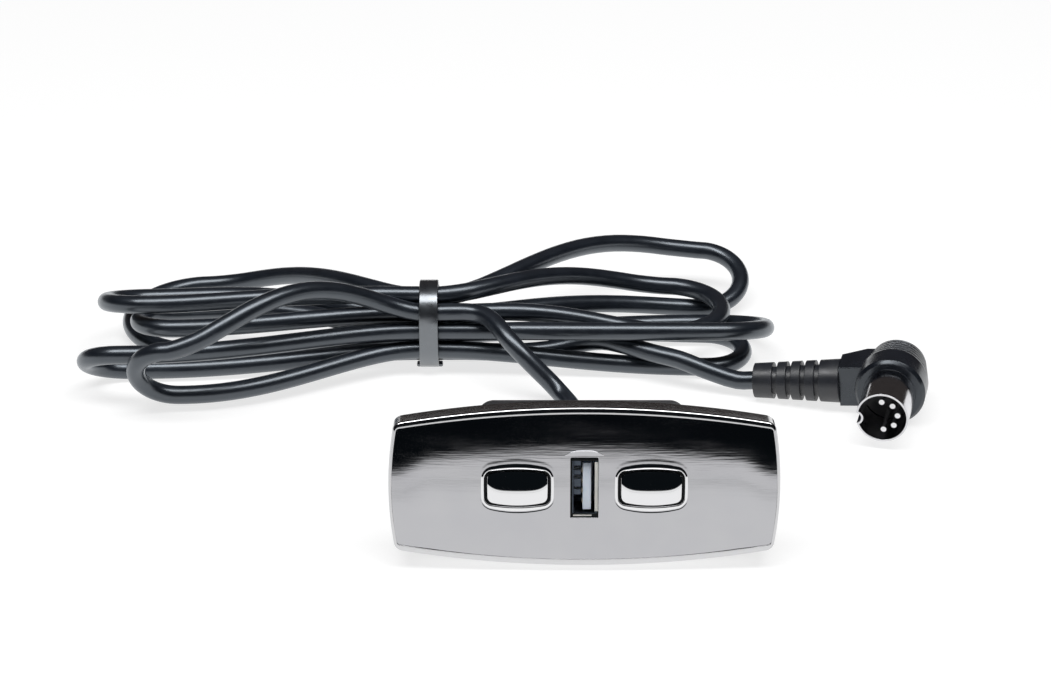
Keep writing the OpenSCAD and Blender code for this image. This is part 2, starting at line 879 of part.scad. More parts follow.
module cable_hank() {
    color([0.04, 0.04, 0.045]) tube(hank_path(run_rings, end_rings), cable_d / 2, 6);
}

module cable_tail() {
    color([0.04, 0.04, 0.045]) tube(tail_path, cable_d / 2, 8);
}

// outline of the tie's opening or outside, seen from the side: straight sides and round ends
module tie_outline(grow) {
    r = tie_r + grow;
    for (z = [tie_low + tie_r, tie_high - tie_r]) translate([0, z]) circle(r);
    translate([-r, tie_low + tie_r]) square([2 * r, tie_high - tie_low - 2 * tie_r]);
}

module beside_tie(w) {
    translate([tie_x - w / 2, tie_y, 0]) rotate([90, 0, 90]) linear_extrude(w) children();
}

module hank_tie() {
    color([0.03, 0.03, 0.03]) beside_tie(tie_w) difference() {
        tie_outline(tie_t);
        tie_outline(0);
    }
}

// the head that holds the strap's end, low at the front, open where the strap passes through it
module tie_buckle() {
    color([0.05, 0.05, 0.05]) difference() {
        beside_tie(buckle_w) difference() {
            translate([-tie_r - tie_t, 0.1]) square([buckle_d, buckle_h]);
            tie_outline(0);
        }
        beside_tie(tie_w + 2 * fit) tie_outline(tie_t + fit);
    }
}

// ---- plug ----

module plug() {
    translate(plug_at) rotate([0, -plug_tilt, -plug_turn]) children();
}

// radius of the head's tapered body at a distance behind the cable's axis
function head_at(y) = head_r + (head_rear_r - head_r) * max(0, y) / head_rear;

// the moulded head: a tapered round body with grip grooves and a wedge-shaped block for the cable
module plug_head() {
    color([0.05, 0.05, 0.055]) plug() difference() {
        union() {
            turned() difference() {
                polygon([
                    [0, -head_front], [head_r - head_bevel, -head_front],
                    [head_r, head_bevel - head_front], [head_r, 0],
                    [head_at(head_rear) + 0.2, head_rear - 2], [head_rear_r - 0.6, head_rear - 0.7],
                    [head_rear_r - 1.8, head_rear], [0, head_rear]
                ]);
                for (i = [0:ridge_n - 1])
                    let (y = head_rear - 2.8 - i * ridge_pitch)
                    translate([head_at(y) - ridge_in, y]) square([2 * ridge_in + fit, ridge_w]);
            }
            translate([0, 0, -block_h / 2]) linear_extrude(block_h) polygon([
                [-relief_start, -block_front], [0, -block_front], [0, block_root],
                [-block_start, block_root], [-relief_start, block_rear]
            ]);
        }
        translate([0, -head_front, 0]) deep(-over, din_in) circle(din_r - din_neck + fit);
    }
}

// the tapered sleeve, cut by grooves so that it bends with the cable
module plug_relief() {
    color([0.09, 0.09, 0.1]) plug() translate([-relief_end, 0, 0]) rotate([0, 90, 0]) difference() {
        cylinder(h = relief_l, r1 = relief_r1, r2 = relief_r2);
        for (i = [0:groove_n - 1]) translate([0, 0, groove_first + i * groove_pitch - groove_w / 2])
            difference() {
                cylinder(h = groove_w, r = relief_r2 + over);
                cylinder(h = groove_w, r = relief_r1 - groove_in + i * 0.2);
            }
    }
}

// the metal shell with the keyway pressed into its side
module plug_shell() {
    color([0.8, 0.8, 0.82]) plug() translate([0, -head_front - din_l, 0])
        difference() {
            union() {
                deep(0, din_l) circle(din_r);
                deep(0, din_l + din_in) circle(din_r - din_neck);
            }
            deep(-over, din_l + din_in + over) {
                difference() {
                    circle(din_r - din_wall);
                    translate([-din_r, 0]) circle(key_r + din_wall);
                }
                translate([-din_r, 0]) circle(key_r);
            }
        }
}

module plug_insulator() {
    color([0.04, 0.04, 0.04]) plug() translate([0, -head_front, 0])
        deep(din_in - insulator_l, din_in) difference() {
            circle(din_r - din_wall - fit);
            translate([-din_r, 0]) circle(key_r + din_wall + fit);
            for (i = [-2:2]) rotate(i * 45) translate([pin_circle_r, 0]) circle(pin_r + fit / 2);
        }
}

module plug_pins() {
    color([0.85, 0.85, 0.86]) plug() translate([0, -head_front, 0]) for (i = [-2:2]) rotate([0, i * 45, 0])
        translate([pin_circle_r, 0, 0]) deep(pin_recess - din_l, din_in) circle(pin_r, $fn = 32);
}

// ---- measure of the hank ----

// distance from a point to the stretch between two others
function point_gap(p, a, b) =
    let (t = min(1, max(0, (p - a) * (b - a) / ((b - a) * (b - a)))))
    norm(p - a - t * (b - a));

module measure_hank() {
    path = hank_path(10, 10);
    apart = 7;
    least = min([
        for (i = [0:len(path) - 1 - apart], j = [i + apart:len(path) - 2])
            point_gap(path[i], path[j], path[j + 1])
    ]);
    whole = concat(lead_path, hank_path(10, 10), tail_path);
    lengths = [for (i = [1:len(whole) - 1]) norm(whole[i] - whole[i - 1])];
    sums = [for (i = 0, s = 0; i < len(lengths); s = s + lengths[i], i = i + 1) s];
    echo(least_gap_of_hank_to_itself = least - cable_d);
    echo(cable_length = sums[len(sums) - 1] + lengths[len(lengths) - 1]);
}

measure_hank();
faceplate();
left_button();
right_button();
left_plunger();
right_plunger();
left_push_switch();
right_push_switch();
housing();
rear_cover();
cover_screws();
ear_screws();
left_insert();
right_insert();
circuit_board();
socket_shell();
socket_insulator();
socket_contacts();
capacitor();
inductor();
converter_chip();
cable_wires();
cable_grommet();
cable_lead();
cable_hank();
cable_tail();
hank_tie();
tie_buckle();
plug_head();
plug_relief();
plug_shell();
plug_insulator();
plug_pins();
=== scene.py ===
"""Looks of a two-button furniture hand control, its cable in a tied hank and its round plug.

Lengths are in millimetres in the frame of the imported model, until they reach Blender in metres.
"""

import json
import math

import bpy
import numpy
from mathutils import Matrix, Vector, geometry


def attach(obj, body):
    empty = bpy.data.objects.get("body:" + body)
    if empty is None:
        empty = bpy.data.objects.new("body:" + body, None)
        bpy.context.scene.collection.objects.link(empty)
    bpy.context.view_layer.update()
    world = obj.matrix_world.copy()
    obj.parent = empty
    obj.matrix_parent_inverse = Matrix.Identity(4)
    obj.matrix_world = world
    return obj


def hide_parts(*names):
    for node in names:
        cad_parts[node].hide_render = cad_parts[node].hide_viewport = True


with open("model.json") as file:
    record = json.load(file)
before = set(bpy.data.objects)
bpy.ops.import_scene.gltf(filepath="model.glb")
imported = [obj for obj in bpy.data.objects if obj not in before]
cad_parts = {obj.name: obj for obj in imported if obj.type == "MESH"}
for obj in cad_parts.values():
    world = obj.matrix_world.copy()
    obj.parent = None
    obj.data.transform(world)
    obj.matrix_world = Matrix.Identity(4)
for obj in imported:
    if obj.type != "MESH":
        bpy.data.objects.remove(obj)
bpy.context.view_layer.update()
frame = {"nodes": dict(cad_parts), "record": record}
nodes = frame["nodes"]
MM = 0.001

# ---- the control's own frame: X to the right, Y depth behind the rim, Z up the plate ----
PLATE_W, PLATE_H, PLATE_D = 90.0, 38.0, 6.0
HOUSING_H, HOUSING_D = 26.0, 25.0
LEAN = math.atan((PLATE_H - HOUSING_H) / 2 / HOUSING_D)
MID_Z = PLATE_H / 2
GROMMET_L = 7.0
GROMMET_END = PLATE_D + HOUSING_D + GROMMET_L
CABLE_D = 4.8
RIM_EDGE = 1.0
GROMMET_TIP_R = CABLE_D / 2 + 1
FRONT_MOST = RIM_EDGE * (math.cos(LEAN) + math.sin(LEAN) - 1)
REAR_MOST = GROMMET_END * math.cos(LEAN) + (MID_Z + GROMMET_TIP_R) * math.sin(LEAN)
ORIGIN_Y = (FRONT_MOST + REAR_MOST) / 2


def on_control(x, y, z):
    """A point of the control's own frame in the model's frame."""
    cos, sin = math.cos(LEAN), math.sin(LEAN)
    return Vector((x, y * cos + z * sin - ORIGIN_Y, z * cos - y * sin + PLATE_D * sin))


def new_object(name, data):
    made = bpy.data.objects.new(name, data)
    bpy.context.scene.collection.objects.link(made)
    return made


# ---- camera, at the photograph's viewing angle ----
PHOTO_W = 1051
FOCAL_PX = 2550
CAMERA_AT = Vector((-13.45, -526.7, 303.5))
CAMERA_DOWN = 26


def make_camera():
    data = bpy.data.cameras.new("camera")
    data.lens = data.sensor_width * FOCAL_PX / PHOTO_W
    camera = new_object("camera", data)
    camera.location = CAMERA_AT * MM
    camera.rotation_euler = (math.radians(90 - CAMERA_DOWN), 0, 0)
    bpy.context.scene.camera = camera


make_camera()

# ---- meshes put together from rings ----


class Skin:
    """A mesh put together from rings and patches, whose points are given in a frame of its own."""

    def __init__(self, place):
        self.place = place
        self.points, self.faces, self.normals = [], [], {}

    def add(self, points):
        first = len(self.points)
        self.points += [self.place(*p) * MM for p in points]
        return range(first, len(self.points))

    def loft(self, rings, closed=True):
        """Quads between rings of as many points, facing out where the rings go from outside in."""
        rows = [self.add(ring) for ring in rings]
        for a, b in zip(rows, rows[1:]):
            for k in range(len(a) if closed else len(a) - 1):
                n = (k + 1) % len(a)
                self.faces.append((a[k], a[n], b[n], b[k]))
        return rows

    def fold(self, rings):
        """A loft that has a sharp edge at each ring."""
        for outer, inner in zip(rings, rings[1:]):
            self.loft([outer, inner])

    def close(self, rows):
        """Flat faces over both ends of a loft."""
        self.faces += [tuple(rows[-1]), tuple(rows[0])[::-1]]

    def build(self, name, smooth=True):
        mesh = bpy.data.meshes.new(name)
        mesh.from_pydata(self.points, [], self.faces)
        mesh.polygons.foreach_set("use_smooth", [smooth] * len(mesh.polygons))
        if self.normals:
            mesh.normals_split_custom_set_from_vertices(
                [self.normals.get(k, v.normal.copy()) for k, v in enumerate(mesh.vertices)]
            )
        return new_object(name, mesh)


def in_model(x, y, z):
    return Vector((x, y, z))


# ---- cable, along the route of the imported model's own cable ----
TIE_X, TIE_Y, TIE_W = -39.0, 86.9, 5.0
PASS_PITCH = 5.5
PASS_LOW = CABLE_D / 2 + 1.5
NECK = TIE_W / 2 + 0.5
FREE_NECK = 5.0
HEAD_R = 9.0
PLUG_AT = Vector((81.1, 59, HEAD_R))
PLUG_TURN = math.radians(15)
BLOCK_START, BLOCK_L = HEAD_R - 1.5, 6
RELIEF_L, RELIEF_R1 = 22.5, 4.5
RELIEF_END = BLOCK_START + BLOCK_L + RELIEF_L
RELIEF_LIFT = 0.1
PLUG_TILT = (
    math.asin((HEAD_R - RELIEF_LIFT) / math.hypot(RELIEF_END, RELIEF_R1))
    - math.atan(RELIEF_R1 / RELIEF_END)
)
BOARD_Y, BOARD_T, CABLE_IN = 10, 1.6, 7
CABLE_IN_Y = PLATE_D + BOARD_Y + BOARD_T + CABLE_IN

# places of the passes in the tie, as (column, level), in the order in which the cable takes them
PASSES = [(-1, 2), (-1, 0), (0, 1), (0, 2), (0, 3), (1, 1), (1, 2), (1, 0), (-1, 1), (0, 0)]

# side, reach, and for the run out and the run back: where it meets the round end, and its bow
HALF_LOOPS = [
    (-1, 74, (-35, 21), (4, 10), (-26, 4), (0, 0)),
    (1, 84, (-7, 2.7), (0, 0), (13, 2.7), (0, 1)),
    (-1, 78, (15, 8.6), (0, 2), (-5, 13), (-1, 1)),
    (1, 79, (1, 9), (0, 3), (32, 8.5), (0, 4)),
    (-1, 87, (-3, 19), (0, 1), (21, 10), (2, 1)),
    (1, 86, (29, 3.2), (0, 2), (51, 11), (4, 4)),
    (-1, 83, (44, 3.5), (0, 4), (2, 2.7), (1, -1)),
    (1, 90, (20, 2.7), (0, 0), (-9, 14), (0, 0)),
    (-1, 89, (-25, 15), (0, 0), (-9, 2.7), (0, 0)),
]
# points of the free cable before and after the hank
LEAD_POINTS = [
    (0, 31, 8.4), (0, 37.5, 6.6), (0, 44, 4.8), (-0.5, 50.5, 3.4), (-1.5, 56.8, 2.7),
    (-4, 62.4, 3.2), (-7, 64.9, 5.6), (-10.5, 66.2, 8.8), (-14, 67.7, 12), (-17.5, 70.5, 14.8),
    (-20.2, 74.3, 16.6), (-22.8, 78.3, 17.5), (-25.8, 81.1, 17.7),
]
TAIL_POINTS = [
    (-21, 86.8, 3.7), (-13, 86.8, 3.8), (-5, 86.8, 4.8), (1, 86, 6.6), (7, 83.8, 8.4),
    (13, 80.6, 8.7), (20, 77.2, 8.1), (27, 74, 7.7), (34, 71.6, 5.8),
]
RUN_STEPS, END_STEPS = 9, 12
SMOOTH_STEPS = 3


def pass_at(i):
    """Place of a pass through the tie, as how far behind the tie's middle and how far up."""
    column, level = PASSES[i]
    return Vector((
        column * PASS_PITCH * math.cos(math.pi / 6),
        PASS_LOW + PASS_PITCH * (level + abs(column) / 2),
    ))


def hank_point(beside, place):
    return Vector((TIE_X + beside, TIE_Y + place[0], place[1]))


def run_point(side, length, start, end, bow, u):
    """A point of the run between a pass and a loop's round end, at share u of its length."""
    # goes from 0 to 1 and is level at both ends
    spread = u * u * (4.5 - 5 * u + 1.5 * u * u)
    place = start + (end - start) * spread + bow * math.sin(math.pi * u) ** 1.5
    return hank_point(side * (NECK + length * u), place)


def half_loop(i):
    side, reach = HALF_LOOPS[i][:2]
    out, out_bow, back, back_bow = (Vector(v) for v in HALF_LOOPS[i][2:])
    r = (out - back).length / 2
    length = reach - r - NECK
    middle = (out + back) / 2
    shares = [k / RUN_STEPS for k in range(RUN_STEPS)]
    points = [run_point(side, length, pass_at(i), out, out_bow, u) for u in shares]
    for k in range(END_STEPS + 1):
        a = math.pi * k / END_STEPS
        place = middle + (out - middle) * math.cos(a)
        points.append(hank_point(side * (NECK + length + r * math.sin(a)), place))
    points += [run_point(side, length, pass_at(i + 1), back, back_bow, u) for u in reversed(shares)]
    return points


def smooth(points, steps):
    """A centripetal Catmull-Rom curve through the points."""
    ends = [points[0] * 2 - points[1]] + points + [points[-1] * 2 - points[-2]]
    line = []
    for p0, p1, p2, p3 in zip(ends, ends[1:], ends[2:], ends[3:]):
        t1 = (p1 - p0).length ** 0.5
        t2 = t1 + (p2 - p1).length ** 0.5
        t3 = t2 + (p3 - p2).length ** 0.5
        for k in range(steps):
            t = t1 + (t2 - t1) * k / steps
            a1 = p0 * ((t1 - t) / t1) + p1 * (t / t1)
            a2 = p1 * ((t2 - t) / (t2 - t1)) + p2 * ((t - t1) / (t2 - t1))
            a3 = p2 * ((t3 - t) / (t3 - t2)) + p3 * ((t - t2) / (t3 - t2))
            b1 = a1 * ((t2 - t) / t2) + a2 * (t / t2)
            b2 = a2 * ((t3 - t) / (t3 - t1)) + a3 * ((t - t1) / (t3 - t1))
            line.append(b1 * ((t2 - t) / (t2 - t1)) + b2 * ((t - t1) / (t2 - t1)))
    return line + [points[-1]]


def cable_points():
    plug_side = Vector((
        -math.cos(PLUG_TILT) * math.cos(PLUG_TURN),
        math.cos(PLUG_TILT) * math.sin(PLUG_TURN),
        -math.sin(PLUG_TILT),
    ))
    points = [on_control(0, CABLE_IN_Y, MID_Z), on_control(0, GROMMET_END + CABLE_D, MID_Z)]
    points += [Vector(p) for p in LEAD_POINTS]
    points += [hank_point(FREE_NECK + CABLE_D, pass_at(0)), hank_point(FREE_NECK, pass_at(0))]
    for i in range(len(HALF_LOOPS)):
        points += half_loop(i)
    last = pass_at(len(PASSES) - 1)
    points += [hank_point(FREE_NECK, last), hank_point(FREE_NECK + CABLE_D, last)]
    points += [Vector(p) for p in TAIL_POINTS]
    points += [PLUG_AT + plug_side * (RELIEF_END + CABLE_D), PLUG_AT + plug_side * RELIEF_END]
    return smooth(points, SMOOTH_STEPS)


def make_cable():
    line = cable_points()
    data = bpy.data.curves.new("cable", "CURVE")
    data.dimensions = "3D"
    data.twist_mode = "MINIMUM"
    data.bevel_depth = 1
    data.bevel_resolution = 10
    data.use_fill_caps = True
    spline = data.splines.new("POLY")
    spline.points.add(len(line) - 1)
    for point, place in zip(spline.points, line):
        point.co = (*(place * MM), 1)
        point.radius = CABLE_D / 2 * MM
    spline.use_smooth = True
    length = sum((b - a).length for a, b in zip(line, line[1:]))
    return new_object("cable", data), length * MM


cable, cable_length = make_cable()

# ---- the tie's strap and the tips of its buckle ----
STRAP_R, STRAP_T, STRAP_EDGE = 8.963, 1.0, 0.3
STRAP_LOW, STRAP_HIGH = 9.163, 15.137
STRAP_STEPS, STRAP_EDGE_STEPS = 120, 4
BUCKLE = ((-42.5, 84.6, 0.25), (-35.5, 86.6, 1.4))
BUCKLE_EDGE, BUCKLE_STEPS = 0.45, 6


def strap_loop(x, inset):
    """The strap's path around the hank at a place across its width."""
    loop = []
    for k in range(STRAP_STEPS):
        t = 2 * math.pi * k / STRAP_STEPS
        middle = STRAP_HIGH if math.sin(t) > 0 else STRAP_LOW
        y = TIE_Y + (STRAP_R - inset) * math.cos(t)
        loop.append((x, y, middle + (STRAP_R - inset) * math.sin(t)))
    return loop


def make_strap():
    skin = Skin(in_model)
    section = []
    for corner in range(4):
        for k in range(STRAP_EDGE_STEPS + 1):
            t = math.pi / 2 * (corner + k / STRAP_EDGE_STEPS)
            across = (TIE_W / 2 - STRAP_EDGE) * (1 if corner in (0, 3) else -1)
            deep = (STRAP_T - STRAP_EDGE) if corner in (2, 3) else STRAP_EDGE
            x = TIE_X + across + STRAP_EDGE * math.cos(t)
            section.append((x, deep - STRAP_EDGE * math.sin(t)))
    skin.loft([strap_loop(x, inset) for x, inset in section + section[:1]])
    return skin.build("tie_strap")


def rounded_block(name, low, high, edge):
    """A block with rounded edges."""
    skin = Skin(in_model)
    middle = [(a + b) / 2 for a, b in zip(low, high)]
    half_w, half_d = (high[0] - low[0]) / 2, (high[1] - low[1]) / 2
    shares = [k / BUCKLE_STEPS for k in range(BUCKLE_STEPS + 1)]

    def ring(inset, z):
        points = []
        for corner, (sx, sy) in enumerate(((1, 1), (-1, 1), (-1, -1), (1, -1))):
            for share in shares:
                t = math.pi / 2 * (corner + share)
                points.append((
                    middle[0] + sx * (half_w - edge) + (edge - inset) * math.cos(t),
                    middle[1] + sy * (half_d - edge) + (edge - inset) * math.sin(t), z,
                ))
        return points

    turns = [math.pi / 2 * share for share in shares]
    rings = [ring(edge * (1 - math.sin(t)), low[2] + edge * (1 - math.cos(t))) for t in turns]
    rings += [ring(edge * (1 - math.cos(t)), high[2] - edge * (1 - math.sin(t))) for t in turns]
    skin.close(skin.loft(rings))
    return skin.build(name)


strap = make_strap()
buckle = rounded_block("buckle_tips", *BUCKLE, BUCKLE_EDGE)
for piece, node in ((strap, "hank_tie"), (buckle, "tie_buckle")):
    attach(piece, "control")
    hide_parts(node)

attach(cable, "control")
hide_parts("cable_lead", "cable_hank", "cable_tail")

# ---- smooth meshes for the plated pieces ----


def arc_radius(chord, rise):
    return (chord * chord / 4 + rise * rise) / (2 * rise)


def outline(w, h, corner, long_r, end_r, inset=0.0, counts=(60, 12, 30)):
    """Points of an outline of two long arcs, two end arcs and four corners, seen from the front.

    It runs anticlockwise, and outlines that differ only in their inset match point by point.
    """
    long_z, end_x = h / 2 - long_r, w / 2 - end_r
    span = math.hypot(end_x, long_z)
    ux, uz = end_x / span, -long_z / span
    a = ((long_r - corner) ** 2 - (end_r - corner) ** 2 + span * span) / (2 * span)
    b = math.sqrt((long_r - corner) ** 2 - a * a)
    cx, cz = a * ux + b * uz, long_z + a * uz - b * ux
    if cx < 0 or cz < 0:
        cx, cz = a * ux - b * uz, long_z + a * uz + b * ux
    to_end = math.atan2(cz, cx - end_x)
    to_long = math.atan2(cz - long_z, cx)
    pi = math.pi
    arcs = [
        (end_x, 0, end_r, -to_end, to_end, counts[2]),
        (cx, cz, corner, to_end, to_long, counts[1]),
        (0, long_z, long_r, to_long, pi - to_long, counts[0]),
        (-cx, cz, corner, pi - to_long, pi - to_end, counts[1]),
        (-end_x, 0, end_r, pi - to_end, pi + to_end, counts[2]),
        (-cx, -cz, corner, pi + to_end, pi + to_long, counts[1]),
        (0, -long_z, long_r, pi + to_long, 2 * pi - to_long, counts[0]),
        (cx, -cz, corner, 2 * pi - to_long, 2 * pi - to_end, counts[1]),
    ]
    points = []
    for x, z, r, start, end, count in arcs:
        for k in range(count):
            t = start + (end - start) * k / count
            points.append((x + (r - inset) * math.cos(t), z + (r - inset) * math.sin(t)))
    return points


def circle(x, r):
    """Points of a circle at the plate's middle height."""
    turn = 2 * math.pi / CIRCLE_STEPS
    return [(x + r * math.cos(k * turn), r * math.sin(k * turn)) for k in range(CIRCLE_STEPS)]


def smoothstep(value):
    """Rises smoothly from 0 to 1 as the value does, and stays there on both sides."""
    t = min(1.0, max(0.0, value))
    return t * t * (3 - 2 * t)


def in_loop(loop, x, z):
    """Which of many points lie inside a closed loop."""
    a = numpy.array(loop)
    b = numpy.roll(a, -1, axis=0)
    inside = numpy.zeros(len(x), bool)
    for (x1, z1), (x2, z2) in zip(a, b):
        if z1 != z2:
            inside ^= ((z1 > z) != (z2 > z)) & (x < (x2 - x1) * (z - z1) / (z2 - z1) + x1)
    return inside


CIRCLE_STEPS = 48
NORMAL_STEP = 0.01
RIM_W, RIM_INNER = 1.85, 0.25
RIM_DRAFT, END_INSET = 0.26, 0.5
# the rim's front edge turns in on a small radius and then, from a given slope, on a larger one
EDGE_R, CREST_R, EDGE_TURN = 0.7, 1.75, math.radians(31)
EDGE_STEPS, CREST_STEPS, ROUND_STEPS = 16, 12, 6
# the bevel down to the face fades out along the lower edge: its least size, the height at which it
# starts to grow, and over which height it grows
BEVEL_LEAST, BEVEL_FROM, BEVEL_GROWS = 0.04, -15.5, 5
# the bevel around the back, and depths of the inner wall's two halves, which overlap
BACK_BEVEL, WALL_BACK, WALL_FRONT = 0.15, 1.6, 0.6
# how far behind the curve of the rim's front edge its side wall ends
SIDE_GAP = 0.02
PLATE_WALL = 1.5
FACE_CROWN, FACE_FALL, LOW_FALL, END_FALL, END_TWIST = 0.5, 0.85, 0.55, 0.5, 0.024
TWIST_FROM = 0.8
FACE_BACK = PLATE_WALL - FACE_CROWN
LONG_BOW, END_BOW = 4, 1.4
LONG_R = arc_radius(PLATE_W, LONG_BOW)
END_R = arc_radius(PLATE_H - 2 * LONG_BOW, END_BOW)
PLATE_CORNER = 2.6
PLATE_COUNTS = (260, 16, 90)
BUTTON_W, BUTTON_H, BUTTON_PITCH = 14.5, 8.1, 30.6
BUTTON_CORNER, BUTTON_LONG_R, BUTTON_END_R = 1.5, 40, 90
BUTTON_GAP, BUTTON_DOME = 0.4, 0.9
BEZEL_W, BEZEL_H, BEZEL_RAISE = 0.9, 1.5, 0.8
BEZEL_CORNER, BEZEL_LONG_R, BEZEL_END_R = 3.2, 26, 60
# how far the bezel's foot reaches out, and how much further above the button
FOOT_OUT, FOOT_UP = 0.35, 0.6
# how far below a button's middle its bezel's lower profile holds in full, and the least share of
# its height that a bezel has at its sides
BEZEL_LOW, BEZEL_LEAST = 3.5, 0.35
SLOT_W, SLOT_H, SLOT_EDGE, SLOT_CORNER = 6.4, 14.2, 0.12, 0.35
SLOT_COUNTS = (16, 8, 30)
POST_PITCH, POST_R, INSERT_R = 71.0, 3.4, 2.2
POST_FRONT, INSERT_FRONT = 0.5, 2.5
# radius of an arc that looks straight
STRAIGHT = 4000.0
# how far the face reaches under the rim, how far its grid stays inside the rim, the share by which
# the grid stays clear of a hole, and the grid's steps on the front and the back
UNDER_RIM, GRID_GAP, HOLE_GAP, FRONT_STEP, BACK_STEP = 0.05, 0.25, 0.03, 0.6, 3.0
# triangulation that keeps what lies inside the edges, and the distance at which points are one
INSIDE_EDGES, SAME_POINT = 1, 1e-6
# the hood above the socket: half its width, the height where it starts, how tall it is, how far it
# stands out, the share of its height at which that is, and the share of its width that is level
HOOD_HALF_W, HOOD_LOW, HOOD_TALL = 4.7, 7.45, 1.35
HOOD_RAISE, HOOD_CREST, HOOD_LEVEL = 0.4, 0.94, 0.3
HOOD_SINK, HOOD_ROWS, HOOD_COLUMNS = 0.01, 20, 28


def plate_outline(inset):
    """The faceplate's outline, with a smaller inset at its ends."""
    stretch = (PLATE_W / 2 - END_INSET * inset) / (PLATE_W / 2 - inset)
    points = outline(PLATE_W, PLATE_H, PLATE_CORNER, LONG_R, END_R, inset, PLATE_COUNTS)
    return [(x * stretch, z) for x, z in points]


def button_outline(grow):
    return outline(BUTTON_W, BUTTON_H, BUTTON_CORNER, BUTTON_LONG_R, BUTTON_END_R, -grow)


def at_button(points, side):
    """Points given from a button's middle, moved to the left (-1) or the right (1) button."""
    return [(x + side * BUTTON_PITCH / 2, z) for x, z in points]


def face_y(x, z):
    """Depth of the crowned face, which twists back at its ends, beside and above its middle."""
    top = PLATE_H / 2 - RIM_W - (LONG_R - math.sqrt(LONG_R ** 2 - x * x))
    fall = (FACE_FALL if z > 0 else LOW_FALL) * (z / top) ** 2
    out = abs(x) / (PLATE_W / 2 - RIM_W)
    twist = END_TWIST * z * smoothstep((out - TWIST_FROM) / (1 - TWIST_FROM))
    return -FACE_CROWN + fall + END_FALL * out ** 4 + twist


def front_normal(depth, x, z):
    """Normal, in the model's frame, of a surface on the plate's front, given by its depth."""
    d = NORMAL_STEP
    fx = (depth(x + d, z) - depth(x - d, z)) / (2 * d)
    fz = (depth(x, z + d) - depth(x, z - d)) / (2 * d)
    n = Vector((fx, -1, fz)).normalized()
    cos, sin = math.cos(LEAN), math.sin(LEAN)
    return Vector((n.x, n.y * cos + n.z * sin, n.z * cos - n.y * sin))


def on_plate(x, y, z):
    return on_control(x, y, MID_Z + z)


def ring_at(points, depth):
    """An outline's points at a depth, or at a depth that depends on the place."""
    return [(x, depth(x, z) if callable(depth) else depth, z) for x, z in points]


def quarter(steps):
    """Angles of a quarter turn."""
    return [math.pi / 2 * k / steps for k in range(steps + 1)]


def rim_rings():
    """The faceplate's side wall, rounded front edge, flat rim and the bevel down to its face."""
    crest_in, crest_y = CREST_R * math.sin(EDGE_TURN), CREST_R * (1 - math.cos(EDGE_TURN))
    edge_in, edge_y = EDGE_R * (1 - math.sin(EDGE_TURN)), EDGE_R * math.cos(EDGE_TURN)
    profile = [(0, PLATE_D - BACK_BEVEL), (RIM_DRAFT, crest_y + edge_y + SIDE_GAP)]
    for k in range(EDGE_STEPS + 1):
        t = math.pi / 2 + (EDGE_TURN - math.pi / 2) * k / EDGE_STEPS
        y = crest_y + edge_y - EDGE_R * math.cos(t)
        profile.append((RIM_DRAFT + EDGE_R * (1 - math.sin(t)), y))
    for k in range(1, CREST_STEPS + 1):
        t = EDGE_TURN * (1 - k / CREST_STEPS)
        inset = RIM_DRAFT + edge_in + crest_in - CREST_R * math.sin(t)
        profile.append((inset, CREST_R * (1 - math.cos(t))))
    rings = [ring_at(plate_outline(inset), y) for inset, y in profile]
    outer, inner = plate_outline(RIM_W - RIM_INNER), plate_outline(RIM_W)
    for t in quarter(ROUND_STEPS):
        ring = []
        for p, q in zip(outer, inner):
            grown = smoothstep((p[1] - BEVEL_FROM) / BEVEL_GROWS)
            size = BEVEL_LEAST + (1 - BEVEL_LEAST) * grown
            share = 1 - size * (1 - math.sin(t))
            x, z = p[0] + (q[0] - p[0]) * share, p[1] + (q[1] - p[1]) * share
            ring.append((x, size * RIM_INNER * (1 - math.cos(t)), z))
        rings.append(ring)
    rings.append(ring_at(inner, WALL_BACK))
    return rings


def bezel_outline():
    w = BUTTON_W + 2 * (BUTTON_GAP + BEZEL_W)
    h = BUTTON_H + 2 * (BUTTON_GAP + BEZEL_H)
    return outline(w, h, BEZEL_CORNER, BEZEL_LONG_R, BEZEL_END_R)


def foot_outline():
    """The bezel's foot, which reaches further out above the button."""
    ring = bezel_outline()
    grown = []
    for k, (x, z) in enumerate(ring):
        (x1, z1), (x2, z2) = ring[k - 1], ring[(k + 1) % len(ring)]
        length = math.hypot(x2 - x1, z2 - z1)
        nx, nz = (z2 - z1) / length, -(x2 - x1) / length
        reach = FOOT_OUT + FOOT_UP * max(0.0, nz) ** 1.5
        grown.append((x + nx * reach, z + nz * reach))
    return grown


# steps of a bezel: share of the way from its foot to its edge, from its edge to the opening,
# height, and height below the opening, where a groove takes the foot's place
BEZEL_MEETS = (1, 0.26, 0.016, -0.03)
BEZEL_FOOT = [
    (0, 0, 0, 0), (0.2, 0, 0.001, 0), (0.45, 0, 0.006, 0), (0.7, 0, 0.011, 0), (0.85, 0, 0.012, 0),
    (1, 0, 0.012, -0.012), (1, 0.12, 0.012, -0.035), (1, 0.2, 0.012, -0.05), BEZEL_MEETS,
]
BEZEL_RING = [
    BEZEL_MEETS, (1, 0.29, 0.026, 0.01), (1, 0.33, 0.048, 0.045), (1, 0.38, 0.085, 0.085),
    (1, 0.45, 0.139, 0.139), (1, 0.55, 0.215, 0.215), (1, 0.62, 0.268, 0.268),
    (1, 0.67, 0.298, 0.298), (1, 0.71, 0.312, 0.312), (1, 0.75, 0.316, 0.316),
    (1, 0.8, 0.312, 0.312), (1, 0.85, 0.298, 0.298), (1, 0.9, 0.272, 0.272),
    (1, 0.95, 0.23, 0.23), (1, 0.98, 0.19, 0.19), (1, 1, 0.12, 0.12),
]


